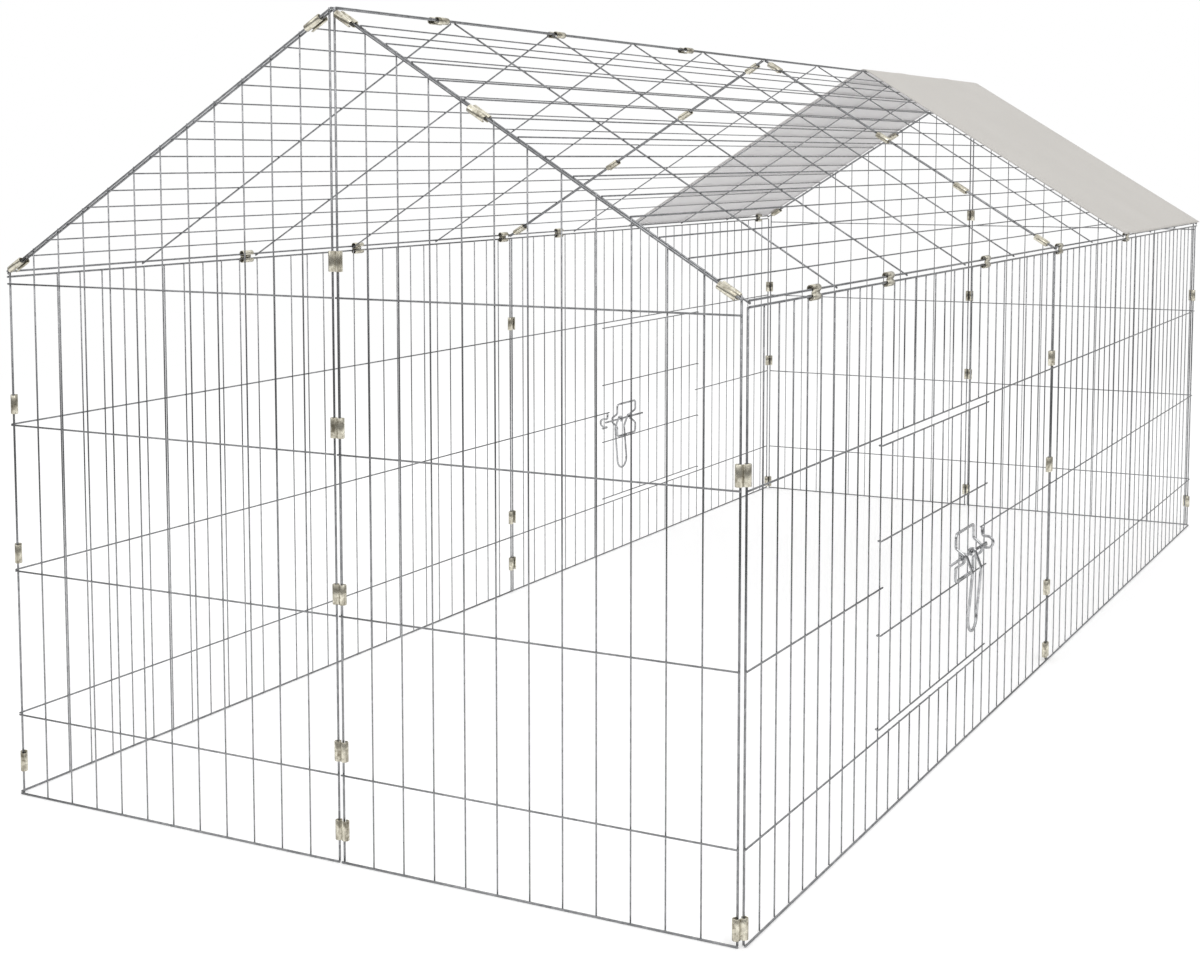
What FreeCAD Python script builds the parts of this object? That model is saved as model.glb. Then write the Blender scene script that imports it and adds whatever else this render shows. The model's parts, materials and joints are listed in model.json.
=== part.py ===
import FreeCAD, Part
import math
import os

V = FreeCAD.Vector

# Outdoor wire run for small pets: twelve welded wire panels clipped into a long
# house with a gable roof, two wire doors with slide latches and a cloth sun shade.
# Millimetres, +Z up, X along the ridge, origin under the middle of the footprint.
# The front gable is at -X, the right side at -Y.

# Wire diameters
MESH_WIRE = 1.3
RAIL_WIRE = 1.6
EDGE_WIRE = 1.9
LATCH_WIRE = 3.0
BOLT_WIRE = 3.0
MESH_SIDES = 6
EDGE_SIDES = 8

# Wall panels
MESH_PITCH = 30.0
SIDE_BAYS = 30
GABLE_BAYS = 12
FIRST_GAP = 75.0
RAIL_GAP = 136.0
RAIL_BAYS = 3
RAIL_OVERHANG = 1.5
GABLE_RAIL_DROP = 6.0
GABLE_TIP = 2.5

# Roof panels
RIDGE_HEIGHT = 714.0
ROOF_BAYS = 5
SLOPE_BAYS = 15
RIDGE_TRIM = 0.4
PURLIN_OVERHANG = 1.2

# Clips of folded sheet steel, each round a pair of edge wires
WIRE_SPACING = 5.0
CLIP_LENGTH = 17.0
CLIP_SHEET = 0.9
CLIP_BORE = 4.6
CLIP_CLEARANCE = 0.3
CLIP_LEAN = math.radians(40.0)
CLIP_FOLDS = 4
CLIP_MOUTH = math.radians(140.0)
CLIP_CURL = math.radians(115.0)
CLIP_MARGIN = 2.5

# Clips on the upright seams: heights above each rail in turn, None where a rail has no clip
FRONT_GABLE_CLIPS = (27.0, 20.0, 18.0, 22.0, 30.0)
REAR_GABLE_CLIPS = (27.0, None, 14.0, 11.0, 17.0)
FRONT_RIGHT_CLIPS = (13.0, None, None, 11.5)
FRONT_LEFT_CLIPS = (30.0, None, 16.0, 19.0)
REAR_RIGHT_CLIPS = (39.0, None, None, 25.0)
REAR_LEFT_CLIPS = (11.5, None, 19.0, 15.0)
RIGHT_JOINT_CLIPS = (11.5, 11.5, 22.0, 11.5)
LEFT_JOINT_CLIPS = (39.0, 28.0, None, 21.0)

# Clips along the run: distances from its middle, positive towards the rear
RIDGE_CLIPS = (-746.0, -531.0, -229.0, 531.0, 746.0)
RIGHT_EAVE_CLIPS = (-772.25, -592.25, -288.0, 17.0, 382.25)
LEFT_EAVE_CLIPS = (-559.0, -352.25, -17.0, 136.0, 861.0)

# Clips up a slope: distances from the eave, or down from the ridge where negative
FRONT_RIGHT_VERGE = (17.0, 267.755, -14.156)
FRONT_LEFT_VERGE = (16.774, -18.362)
REAR_RIGHT_VERGE = (17.0, -14.156)
REAR_LEFT_VERGE = (16.774, 267.755, -18.362)
RIGHT_ROOF_JOINT = (18.362, 132.808, 247.0, -16.0)
LEFT_ROOF_JOINT = (18.362, 183.0, 304.478, -17.0)

# Doors, each in the front half of its wall as seen from outside
HINGE_BAY = 10
DOOR_BAYS = 11
DOOR_RAIL_COUNT = 4
DOOR_GAP = 8.0
DOOR_OVERHANG = 2.0
HINGE_CLEARANCE = 0.3
HOOK_STEPS = 6
HINGE_STUB = 4.5
LATCH_STUB = 19.5

# Slide latch, its places along the wall counted back from the latch upright
BRACKET_BACK = 48.0
BRACKET_WIDTH = 60.0
BRACKET_HEIGHT = 48.0
BRACKET_CORNER = 4.0
BRACKET_SEAM = 0.6
BRACKET_LIFT = 0.1
GUIDE_REACH = 8.7
GUIDE_HALF = 3.5
GUIDE_FOOT = 10.0
BOLT_LENGTH = 124.5
BOLT_DRAW = 4.5
BOLT_CLEARANCE = 0.3
HANDLE_BACK = 69.0
HANDLE_WIDTH = 30.0
HANDLE_LENGTH = 77.0
HANDLE_BULGE = 6.0
HANDLE_SHOULDER = 15.0
HANDLE_TOE_IN = 4.0
BEND_STEPS = 6
STRIKE_BACK = 15.0
STRIKE_HALF = 6.0

# Sun shade over the rear end of the roof
SHADE_BAYS = 3
SHADE_CLOTH = 1.0
SHADE_CLEARANCE = 0.3
SHADE_EAVE = 2.0
SHADE_VERGE = 3.0

# Layers of a wall panel, measured outwards from the axes of its uprights
HEX = math.cos(math.pi / MESH_SIDES)
FACE = MESH_WIRE / 2
CORNER_INSET = WIRE_SPACING / math.sqrt(2) + (EDGE_WIRE - MESH_WIRE) / 2
HALF_LENGTH = SIDE_BAYS * MESH_PITCH + WIRE_SPACING / 2 + CORNER_INSET
HALF_WIDTH = GABLE_BAYS * MESH_PITCH + WIRE_SPACING / 2 + CORNER_INSET
EDGE_RAIL_OUT = FACE + EDGE_WIRE / 2
LATCH_BAY = HINGE_BAY + DOOR_BAYS

RAIL_HEIGHTS = [EDGE_WIRE / 2, EDGE_WIRE / 2 + FIRST_GAP]
RAIL_HEIGHTS += [RAIL_HEIGHTS[1] + RAIL_GAP * (i + 1) for i in range(RAIL_BAYS)]
EAVE_HEIGHT = RAIL_HEIGHTS[-1]
GABLE_RAILS = RAIL_HEIGHTS[:-1] + [EAVE_HEIGHT - GABLE_RAIL_DROP]

# Roof geometry, from the axes of the eave and ridge wires
RAFTER_FACE = RAIL_WIRE / 2
EDGE_PURLIN_OUT = RAFTER_FACE + EDGE_WIRE / 2
VERGE_OUT = RAFTER_FACE - EDGE_WIRE / 2
EAVE_Y = HALF_WIDTH + EDGE_RAIL_OUT
EAVE_Z = EAVE_HEIGHT + WIRE_SPACING
ROOF_RUN = EAVE_Y - WIRE_SPACING / 2
ROOF_RISE = RIDGE_HEIGHT - EAVE_Z
SLOPE = math.hypot(ROOF_RUN, ROOF_RISE)
PITCH_COS = ROOF_RUN / SLOPE
PITCH_SIN = ROOF_RISE / SLOPE
GABLE_END = HALF_LENGTH + EDGE_RAIL_OUT
ROOF_END = GABLE_END - WIRE_SPACING
ROOF_PANEL = ROOF_END - WIRE_SPACING / 2
VERGE_DROP = EDGE_PURLIN_OUT - VERGE_OUT

# Clip section
CLIP_RADIUS = (CLIP_BORE + CLIP_SHEET) / 2
CLIP_STEP = (CLIP_MOUTH + CLIP_CURL) / CLIP_FOLDS
CLIP_OUTER = (CLIP_BORE / 2 + CLIP_SHEET) / math.cos(CLIP_STEP / 2)
CLIP_SLACK = (CLIP_BORE - EDGE_WIRE) / 2 - CLIP_CLEARANCE
CLIP_LOBE = WIRE_SPACING / 2 + CLIP_SLACK * math.cos(CLIP_LEAN)
CLIP_SEAT = CLIP_SLACK * math.sin(CLIP_LEAN)
CLIP_ROOM = CLIP_LENGTH + CLIP_MARGIN

# Layers of a door, measured like those of its wall
DOOR_RAIL_OUT = FACE + HINGE_CLEARANCE + RAIL_WIRE / 2
DOOR_MESH_OUT = DOOR_RAIL_OUT - RAIL_WIRE / 2 - MESH_WIRE / 2
DOOR_FACE = DOOR_MESH_OUT + MESH_WIRE / 2
DOOR_LOW = RAIL_HEIGHTS[1] + DOOR_GAP
DOOR_HIGH = RAIL_HEIGHTS[3] - DOOR_GAP
DOOR_RAIL_GAP = (DOOR_HIGH - DOOR_LOW) / (DOOR_RAIL_COUNT - 1)
DOOR_HEIGHTS = [DOOR_LOW + DOOR_RAIL_GAP * i for i in range(DOOR_RAIL_COUNT)]
BRACKET_OUT = DOOR_FACE + LATCH_WIRE / 2
BRACKET_LOW = DOOR_HEIGHTS[1] + (RAIL_WIRE + LATCH_WIRE) / 2 / HEX + BRACKET_LIFT
BOLT_HEIGHT = BRACKET_LOW + BRACKET_HEIGHT / 2
GUIDE_OUT = BRACKET_OUT + GUIDE_REACH
BOLT_OUT = GUIDE_OUT - LATCH_WIRE / 2 - BOLT_CLEARANCE - BOLT_WIRE / 2
EYE_RADIUS = BOLT_WIRE / 2 + BOLT_CLEARANCE + LATCH_WIRE / 2


class Frame:
    """A flat panel's own axes: along it, up it and out of it."""

    def __init__(self, origin, along, up):
        self.origin = origin
        self.along = along
        self.up = up
        self.out = along.cross(up)

    def at(self, along, up, out=0.0):
        """Point at these distances along the three axes."""
        return self.origin + self.along * along + self.up * up + self.out * out


X = V(1, 0, 0)
Y = V(0, 1, 0)
Z = V(0, 0, 1)
RIGHT_OUT = V(0, -PITCH_SIN, PITCH_COS)
LEFT_OUT = V(0, PITCH_SIN, PITCH_COS)

# Walls and slopes as seen from outside, with along running to the viewer's right
RIGHT_WALL = Frame(V(0, -HALF_WIDTH, 0), X, Z)
LEFT_WALL = Frame(V(0, HALF_WIDTH, 0), -X, Z)
FRONT_GABLE = Frame(V(-HALF_LENGTH, 0, 0), -Y, Z)
REAR_GABLE = Frame(V(HALF_LENGTH, 0, 0), Y, Z)
RIGHT_SLOPE = Frame(V(0, -EAVE_Y, EAVE_Z) - RIGHT_OUT * EDGE_PURLIN_OUT, X, V(0, PITCH_COS, PITCH_SIN))
LEFT_SLOPE = Frame(V(0, EAVE_Y, EAVE_Z) - LEFT_OUT * EDGE_PURLIN_OUT, -X, V(0, -PITCH_COS, PITCH_SIN))


def unit(vector):
    """Copy of a vector, one millimetre long."""
    return V(vector).normalize()


def ring(centre, direction, flat, diameter, sides):
    """Corners of a wire's section, with one flat facing the given way."""
    side = direction.cross(flat)
    radius = diameter / 2 / math.cos(math.pi / sides)
    turns = [(j + 0.5) * 2 * math.pi / sides for j in range(sides)]
    return [centre + flat * (radius * math.cos(t)) + side * (radius * math.sin(t)) for t in turns]


def straight(start, end, flat, diameter, sides=MESH_SIDES):
    """Straight length of wire."""
    corners = ring(start, unit(end - start), flat, diameter, sides)
    return Part.Face(Part.makePolygon(corners + corners[:1])).extrude(end - start)


def sweep(points, section):
    """Section carried along a bent path, mitred at each bend."""
    sections = [section]
    for i in range(1, len(points)):
        way = unit(points[i] - points[i - 1])
        plane = way
        if i + 1 < len(points):
            plane = way + unit(points[i + 1] - points[i])
        reach = way.dot(plane)
        section = [p + way * ((points[i] - p).dot(plane) / reach) for p in section]
        sections.append(section)
    loops = [sections[0], sections[-1]]
    for near, far in zip(sections, sections[1:]):
        for j in range(len(near)):
            loops.append([near[j - 1], near[j], far[j], far[j - 1]])
    faces = [Part.Face(Part.makePolygon(loop + loop[:1])) for loop in loops]
    return Part.makeSolid(Part.makeShell(faces))


def bent(points, flat, diameter, sides=MESH_SIDES):
    """Bent length of wire."""
    return sweep(points, ring(points[0], unit(points[1] - points[0]), flat, diameter, sides))


def arc(radius, start, turn, steps):
    """Corners of a round bend, as pairs on a polygon whose sides touch the circle."""
    step = turn / steps
    outer = radius / math.cos(step / 2)
    angles = [start + step * (i + 0.5) for i in range(steps)]
    return [(outer * math.cos(t), outer * math.sin(t)) for t in angles]


def upright(frame, along, low, high, edge=False):
    """Upright of a wall panel, its outer flat in the plane of the welds."""
    diameter = EDGE_WIRE if edge else MESH_WIRE
    sides = EDGE_SIDES if edge else MESH_SIDES
    out = FACE - diameter / 2
    return straight(frame.at(along, low, out), frame.at(along, high, out), frame.out, diameter, sides)


def rail(frame, start, end, height, edge=False):
    """Horizontal wire of a wall panel, welded across the outside of the uprights."""
    diameter = EDGE_WIRE if edge else RAIL_WIRE
    sides = EDGE_SIDES if edge else MESH_SIDES
    out = FACE + diameter / 2
    return straight(frame.at(start, height, out), frame.at(end, height, out), frame.out, diameter, sides)


def side_panel(frame, start):
    """Half of a long wall."""
    end = start + SIDE_BAYS * MESH_PITCH
    wires = []
    for k in range(SIDE_BAYS + 1):
        edge = k in (0, SIDE_BAYS)
        wires.append(upright(frame, start + k * MESH_PITCH, RAIL_HEIGHTS[0], EAVE_HEIGHT, edge))
    for height in RAIL_HEIGHTS:
        edge = height in (RAIL_HEIGHTS[0], EAVE_HEIGHT)
        wires.append(rail(frame, start - RAIL_OVERHANG, end + RAIL_OVERHANG, height, edge))
    return wires


def door_panel(frame, start):
    """Half of a long wall with a doorway between its first and third inner rails."""
    end = start + SIDE_BAYS * MESH_PITCH
    hinge = start + HINGE_BAY * MESH_PITCH
    latch = start + LATCH_BAY * MESH_PITCH
    sill, middle, lintel = RAIL_HEIGHTS[1:4]
    wires = []
    for k in range(SIDE_BAYS + 1):
        along = start + k * MESH_PITCH
        if k == HINGE_BAY:
            length = EAVE_HEIGHT - RAIL_HEIGHTS[0]
            wires.append(Part.makeCylinder(MESH_WIRE / 2, length, frame.at(along, RAIL_HEIGHTS[0]), Z))
        elif HINGE_BAY < k < LATCH_BAY:
            wires.append(upright(frame, along, RAIL_HEIGHTS[0], sill))
            wires.append(upright(frame, along, lintel, EAVE_HEIGHT))
        else:
            edge = k in (0, SIDE_BAYS)
            wires.append(upright(frame, along, RAIL_HEIGHTS[0], EAVE_HEIGHT, edge))
    for height in RAIL_HEIGHTS:
        edge = height in (RAIL_HEIGHTS[0], EAVE_HEIGHT)
        if height == middle:
            wires.append(rail(frame, start - RAIL_OVERHANG, hinge + HINGE_STUB, height))
            wires.append(rail(frame, latch - LATCH_STUB, end + RAIL_OVERHANG, height))
        else:
            wires.append(rail(frame, start - RAIL_OVERHANG, end + RAIL_OVERHANG, height, edge))
    return wires


def verge_height(across):
    """Height of a gable's sloping edge wire at a distance from the ridge line."""
    return EAVE_Z + (EAVE_Y - across) * PITCH_SIN / PITCH_COS - VERGE_DROP / PITCH_COS


def gable_panel(frame, hand):
    """Half of a gable end, to the right of its middle (hand 1) or to the left (hand -1)."""
    inner = WIRE_SPACING / 2
    outer = inner + GABLE_BAYS * MESH_PITCH
    wires = []
    for k in range(GABLE_BAYS + 1):
        across = inner + k * MESH_PITCH
        top = verge_height(across) + GABLE_TIP
        wires.append(upright(frame, hand * across, RAIL_HEIGHTS[0], top, k in (0, GABLE_BAYS)))
    ends = [inner - RAIL_OVERHANG, outer + RAIL_OVERHANG]
    for height in GABLE_RAILS:
        wires.append(rail(frame, hand * ends[0], hand * ends[1], height, height == GABLE_RAILS[0]))
    tips = [frame.at(hand * across, verge_height(across), EDGE_RAIL_OUT) for across in ends]
    wires.append(straight(tips[0], tips[1], frame.out, EDGE_WIRE, EDGE_SIDES))
    return wires


def purlin_places():
    """Distances up the slope of the lengthwise roof wires."""
    return [SLOPE * j / SLOPE_BAYS for j in range(SLOPE_BAYS + 1)]


def rafter_places(start):
    """Distances along a roof panel of its rafters."""
    return [start + ROOF_PANEL * i / ROOF_BAYS for i in range(ROOF_BAYS + 1)]


def roof_panel(frame, start):
    """Half of a roof slope: rafters with the lengthwise wires welded on top."""
    wires = []
    rafters = rafter_places(start)
    for place in rafters:
        edge = place in (rafters[0], rafters[-1])
        diameter = EDGE_WIRE if edge else RAIL_WIRE
        sides = EDGE_SIDES if edge else MESH_SIDES
        out = RAFTER_FACE - diameter / 2
        foot = frame.at(place, -RAIL_OVERHANG, out)
        head = frame.at(place, SLOPE - RIDGE_TRIM, out)
        wires.append(straight(foot, head, frame.out, diameter, sides))
    purlins = purlin_places()
    for place in purlins:
        edge = place in (purlins[0], purlins[-1])
        diameter = EDGE_WIRE if edge else MESH_WIRE
        sides = EDGE_SIDES if edge else MESH_SIDES
        out = RAFTER_FACE + diameter / 2
        near = frame.at(rafters[0] - PURLIN_OVERHANG, place, out)
        far = frame.at(rafters[-1] + PURLIN_OVERHANG, place, out)
        wires.append(straight(near, far, frame.out, diameter, sides))
    return wires


def clip(centre, axis, pair, out):
    """Strip of sheet folded into two lobes, seated on the outer side of a pair of wires."""
    lobe = arc(CLIP_RADIUS, CLIP_MOUTH, -CLIP_MOUTH - CLIP_CURL, CLIP_FOLDS)
    half = [(CLIP_LOBE + u, v) for u, v in lobe]
    outline = [(-u, v) for u, v in reversed(half)] + half
    points = [centre + pair * u + out * (v - CLIP_SEAT) for u, v in outline]
    side = unit(axis.cross(points[1] - points[0])) * (CLIP_SHEET / 2)
    reach = axis * (CLIP_LENGTH / 2)
    section = [points[0] + side + reach, points[0] - side + reach]
    section += [points[0] - side - reach, points[0] + side - reach]
    return sweep(points, section)


def clear_place(crossings, wanted):
    """Place on a seam where a clip fits between the wires that cross it, nearest to the wanted one."""
    marks = sorted(crossings)
    gaps = [(p + CLIP_ROOM / 2, q - CLIP_ROOM / 2) for p, q in zip(marks, marks[1:]) if q - p > CLIP_ROOM]
    places = [min(max(wanted, low), high) for low, high in gaps]
    return min(places, key=lambda place: abs(place - wanted))


def clip_heights(rails, stations):
    """Heights of the clips on an upright seam."""
    return [base + above for base, above in zip(rails, stations) if above is not None]


def seam_clips(frame, rails, stations):
    """Clips up the middle of a wall or gable, each at its height above one of the rails."""
    centres = [frame.at(0, height, FACE - EDGE_WIRE / 2) for height in clip_heights(rails, stations)]
    return [clip(centre, Z, frame.along, frame.out) for centre in centres]


def corner_clips(side_x, side_y, stations):
    """Clips up a corner, each at its height above one of the rails."""
    inset = (CORNER_INSET + EDGE_WIRE / 2 - FACE) / 2
    foot = V(side_x * (HALF_LENGTH - inset), side_y * (HALF_WIDTH - inset), 0)
    pair = unit(V(side_x, -side_y, 0))
    out = unit(V(side_x, side_y, 0))
    return [clip(foot + Z * height, Z, pair, out) for height in clip_heights(RAIL_HEIGHTS, stations)]


def wall_starts():
    """Where the two panels of a long wall begin."""
    return [-WIRE_SPACING / 2 - SIDE_BAYS * MESH_PITCH, WIRE_SPACING / 2]


def roof_starts():
    """Where the two panels of a slope begin."""
    return [-ROOF_END, WIRE_SPACING / 2]


def rafter_crossings():
    """Distances from the middle of the run of all the rafters of a slope."""
    return [place for start in roof_starts() for place in rafter_places(start)]


def eave_clips(frame, stations):
    """Clips along an eave, clear of the uprights below it and the rafters above it."""
    crossings = [start + k * MESH_PITCH for start in wall_starts() for k in range(SIDE_BAYS + 1)]
    crossings += rafter_crossings()
    clips = []
    for station in stations:
        place = clear_place(crossings, station * frame.along.x)
        centre = frame.at(place, EAVE_HEIGHT + WIRE_SPACING / 2, EDGE_RAIL_OUT)
        clips.append(clip(centre, frame.along, Z, frame.out))
    return clips


def up_slope(station):
    """Distance from the eave, where a negative one counts down from the ridge."""
    return station if station >= 0 else SLOPE + station


def verge_clips(frame, slope, end, stations):
    """Clips that hold a roof end behind a gable, clear of uprights and lengthwise wires."""
    crossings = purlin_places()
    for k in range(GABLE_BAYS + 1):
        across = WIRE_SPACING / 2 + k * MESH_PITCH
        head = V(0, across, verge_height(across)) - V(0, EAVE_Y, EAVE_Z)
        top = head.dot(V(0, -PITCH_COS, PITCH_SIN))
        crossings += [top + GABLE_TIP * PITCH_SIN, top - (CLIP_OUTER + CLIP_SEAT) * PITCH_SIN / PITCH_COS]
    places = [clear_place(crossings, up_slope(station)) for station in stations]
    return [clip(slope.at(end, place, VERGE_OUT), slope.up, frame.out, slope.out) for place in places]


def ridge_clips():
    """Clips along the ridge, clear of the rafters."""
    places = [clear_place(rafter_crossings(), station) for station in RIDGE_CLIPS]
    return [clip(V(place, 0, RIDGE_HEIGHT), X, Y, Z) for place in places]


def roof_joint_clips(slope, stations):
    """Clips where the two panels of a slope meet, clear of the lengthwise wires."""
    places = [clear_place(purlin_places(), up_slope(station)) for station in stations]
    return [clip(slope.at(0, place, VERGE_OUT), slope.up, slope.along, slope.out) for place in places]


def door(frame, hinge, latch):
    """Door of mesh wires behind rails whose ends hook round the hinge upright."""
    wires = []
    for height in DOOR_HEIGHTS:
        hook = arc(DOOR_RAIL_OUT, math.pi / 2, 1.25 * math.pi, HOOK_STEPS)
        path = [frame.at(latch + DOOR_OVERHANG, height, DOOR_RAIL_OUT)]
        path += [frame.at(hinge + a, height, n) for a, n in hook]
        wires.append(bent(path, frame.out, RAIL_WIRE))
    for k in range(1, DOOR_BAYS):
        along = hinge + k * MESH_PITCH
        foot = frame.at(along, DOOR_LOW, DOOR_MESH_OUT)
        head = frame.at(along, DOOR_HIGH, DOOR_MESH_OUT)
        wires.append(straight(foot, head, frame.out, MESH_WIRE))
    return wires


def latch_bracket(frame, latch):
    """Loop of wire on the door whose two sides stand out round the bolt."""
    right = latch - BRACKET_BACK
    left = right - BRACKET_WIDTH
    middle = (left + right) / 2
    low = BRACKET_LOW
    high = BRACKET_LOW + BRACKET_HEIGHT
    cut = BRACKET_CORNER
    guide = [(GUIDE_FOOT, BRACKET_OUT), (GUIDE_HALF, GUIDE_OUT)]
    guide += [(-GUIDE_HALF, GUIDE_OUT), (-GUIDE_FOOT, BRACKET_OUT)]
    down = [frame.at(right, BOLT_HEIGHT + h, n) for h, n in guide]
    up = [frame.at(left, BOLT_HEIGHT + h, n) for h, n in reversed(guide)]
    path = [(middle - BRACKET_SEAM / 2, low), (left + cut, low), (left, low + cut)]
    path = [frame.at(a, h, BRACKET_OUT) for a, h in path] + up
    top = [(left, high - cut), (left + cut, high), (right - cut, high), (right, high - cut)]
    path += [frame.at(a, h, BRACKET_OUT) for a, h in top] + down
    end = [(right, low + cut), (right - cut, low), (middle + BRACKET_SEAM / 2, low)]
    path += [frame.at(a, h, BRACKET_OUT) for a, h in end]
    return [bent(path, frame.out, LATCH_WIRE)]


def latch_bolt(frame, latch):
    """Round bolt that slides along the door, drawn back just clear of the strike."""
    tip = latch - STRIKE_BACK - BOLT_DRAW
    tail = frame.at(tip - BOLT_LENGTH, BOLT_HEIGHT, BOLT_OUT)
    return [Part.makeCylinder(BOLT_WIRE / 2, BOLT_LENGTH, tail, frame.along)]


def latch_handle(frame, latch):
    """Long wire loop to pull the bolt by, its two ends curled round the bolt."""
    right = latch - HANDLE_BACK
    left = right - HANDLE_WIDTH
    eye = arc(EYE_RADIUS, -math.pi / 2, -1.5 * math.pi, BEND_STEPS)
    eye = [(BOLT_HEIGHT + v, BOLT_OUT + u) for u, v in eye]
    shoulder = (BOLT_HEIGHT - HANDLE_SHOULDER, BOLT_OUT + EYE_RADIUS + HANDLE_BULGE)
    half = HANDLE_WIDTH / 2
    toe = BOLT_HEIGHT - HANDLE_LENGTH + half
    toe_out = shoulder[1] - HANDLE_TOE_IN
    leg = eye + [shoulder, (toe, toe_out)]
    bow = arc(half, math.pi, math.pi, BEND_STEPS)
    path = [frame.at(left, h, n) for h, n in leg]
    path += [frame.at(left + half + u, toe + v, toe_out) for u, v in bow]
    path += [frame.at(right, h, n) for h, n in reversed(leg)]
    return [bent(path, frame.along, LATCH_WIRE)]


def latch_strike(frame, latch):
    """Staple that the bolt runs into, from the cut rail out round the bolt to the latch upright."""
    near = latch - STRIKE_BACK
    far = latch + RAIL_OVERHANG
    root = FACE + LATCH_WIRE / 2
    high = BOLT_HEIGHT + STRIKE_HALF
    low = BOLT_HEIGHT - STRIKE_HALF
    bow = arc(STRIKE_HALF, math.pi / 2, -math.pi, BEND_STEPS)
    path = [frame.at(near, RAIL_HEIGHTS[2] - RAIL_WIRE / 2 / HEX, root), frame.at(near, high, root)]
    path += [frame.at(near, BOLT_HEIGHT + v, BOLT_OUT + u) for u, v in bow]
    path += [frame.at(near, low, root), frame.at(far, low, root)]
    return [bent(path, frame.out, LATCH_WIRE, EDGE_SIDES)]


def sun_shade():
    """Cloth laid over the rear rafter bays of both slopes, clear of the clips under it."""
    under = EDGE_PURLIN_OUT + CLIP_LOBE - WIRE_SPACING / 2 + CLIP_OUTER + SHADE_CLEARANCE
    start = WIRE_SPACING / 2 + ROOF_PANEL * (ROOF_BAYS - SHADE_BAYS) / ROOF_BAYS
    end = GABLE_END + SHADE_VERGE
    section = []
    for out in (under, under + SHADE_CLOTH):
        eave = RIGHT_SLOPE.at(start, -SHADE_EAVE, out)
        apex = V(start, 0, eave.z - eave.y * PITCH_SIN / PITCH_COS)
        section.append([eave, apex, V(start, -eave.y, eave.z)])
    loop = section[0] + section[1][::-1]
    return [Part.Face(Part.makePolygon(loop + loop[:1])).extrude(X * (end - start))]


def nodes():
    """Every named piece with its solids."""
    front, rear = wall_starts()
    roof_front, roof_rear = roof_starts()
    hinge = front + HINGE_BAY * MESH_PITCH
    latch = front + LATCH_BAY * MESH_PITCH
    yield "right_side_front_panel", door_panel(RIGHT_WALL, front)
    yield "right_side_rear_panel", side_panel(RIGHT_WALL, rear)
    yield "left_side_rear_panel", door_panel(LEFT_WALL, front)
    yield "left_side_front_panel", side_panel(LEFT_WALL, rear)
    yield "front_gable_right_panel", gable_panel(FRONT_GABLE, 1)
    yield "front_gable_left_panel", gable_panel(FRONT_GABLE, -1)
    yield "rear_gable_right_panel", gable_panel(REAR_GABLE, -1)
    yield "rear_gable_left_panel", gable_panel(REAR_GABLE, 1)
    yield "right_roof_front_panel", roof_panel(RIGHT_SLOPE, roof_front)
    yield "right_roof_rear_panel", roof_panel(RIGHT_SLOPE, roof_rear)
    yield "left_roof_rear_panel", roof_panel(LEFT_SLOPE, roof_front)
    yield "left_roof_front_panel", roof_panel(LEFT_SLOPE, roof_rear)
    for hand, wall in (("right", RIGHT_WALL), ("left", LEFT_WALL)):
        yield hand + "_door", door(wall, hinge, latch)
        yield hand + "_latch_bracket", latch_bracket(wall, latch)
        yield hand + "_latch_bolt", latch_bolt(wall, latch)
        yield hand + "_latch_handle", latch_handle(wall, latch)
        yield hand + "_latch_strike", latch_strike(wall, latch)
    yield "right_side_joint_clips", seam_clips(RIGHT_WALL, RAIL_HEIGHTS, RIGHT_JOINT_CLIPS)
    yield "left_side_joint_clips", seam_clips(LEFT_WALL, RAIL_HEIGHTS, LEFT_JOINT_CLIPS)
    yield "front_gable_clips", seam_clips(FRONT_GABLE, GABLE_RAILS, FRONT_GABLE_CLIPS)
    yield "rear_gable_clips", seam_clips(REAR_GABLE, GABLE_RAILS, REAR_GABLE_CLIPS)
    yield "front_right_corner_clips", corner_clips(-1, -1, FRONT_RIGHT_CLIPS)
    yield "front_left_corner_clips", corner_clips(-1, 1, FRONT_LEFT_CLIPS)
    yield "rear_right_corner_clips", corner_clips(1, -1, REAR_RIGHT_CLIPS)
    yield "rear_left_corner_clips", corner_clips(1, 1, REAR_LEFT_CLIPS)
    yield "right_eave_clips", eave_clips(RIGHT_WALL, RIGHT_EAVE_CLIPS)
    yield "left_eave_clips", eave_clips(LEFT_WALL, LEFT_EAVE_CLIPS)
    verge = (GABLE_END + ROOF_END) / 2
    yield "front_right_verge_clips", verge_clips(FRONT_GABLE, RIGHT_SLOPE, -verge, FRONT_RIGHT_VERGE)
    yield "front_left_verge_clips", verge_clips(FRONT_GABLE, LEFT_SLOPE, verge, FRONT_LEFT_VERGE)
    yield "rear_right_verge_clips", verge_clips(REAR_GABLE, RIGHT_SLOPE, verge, REAR_RIGHT_VERGE)
    yield "rear_left_verge_clips", verge_clips(REAR_GABLE, LEFT_SLOPE, -verge, REAR_LEFT_VERGE)
    yield "ridge_clips", ridge_clips()
    yield "right_roof_joint_clips", roof_joint_clips(RIGHT_SLOPE, RIGHT_ROOF_JOINT)
    yield "left_roof_joint_clips", roof_joint_clips(LEFT_SLOPE, LEFT_ROOF_JOINT)
    yield "sun_shade", sun_shade()


os.makedirs("parts", exist_ok=True)
for name, solids in nodes():
    shape = solids[0] if len(solids) == 1 else Part.makeCompound(solids)
    shape.exportStep("parts/" + name + ".step")
    print(name, len(solids), "solids", round(shape.Volume, 1), "mm3", "valid", shape.isValid())
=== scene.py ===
"""Looks of an outdoor wire run for small pets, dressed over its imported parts.

The welded panels become round drawn wire with a weld bead at every crossing, the clips smoothly
rolled sheet, the latches bent wire and the sun shade a woven cloth with a hem.
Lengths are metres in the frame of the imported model: +X along the ridge, +Z up.
"""
import json
import logging
import math
from dataclasses import dataclass, field
from enum import Enum
from functools import lru_cache
from typing import Optional, Sequence

import bpy
import numpy as np
from bpy.types import ID, Material, Node, NodeSocket, NodeTree, Object
from mathutils import Matrix, Vector


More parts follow.
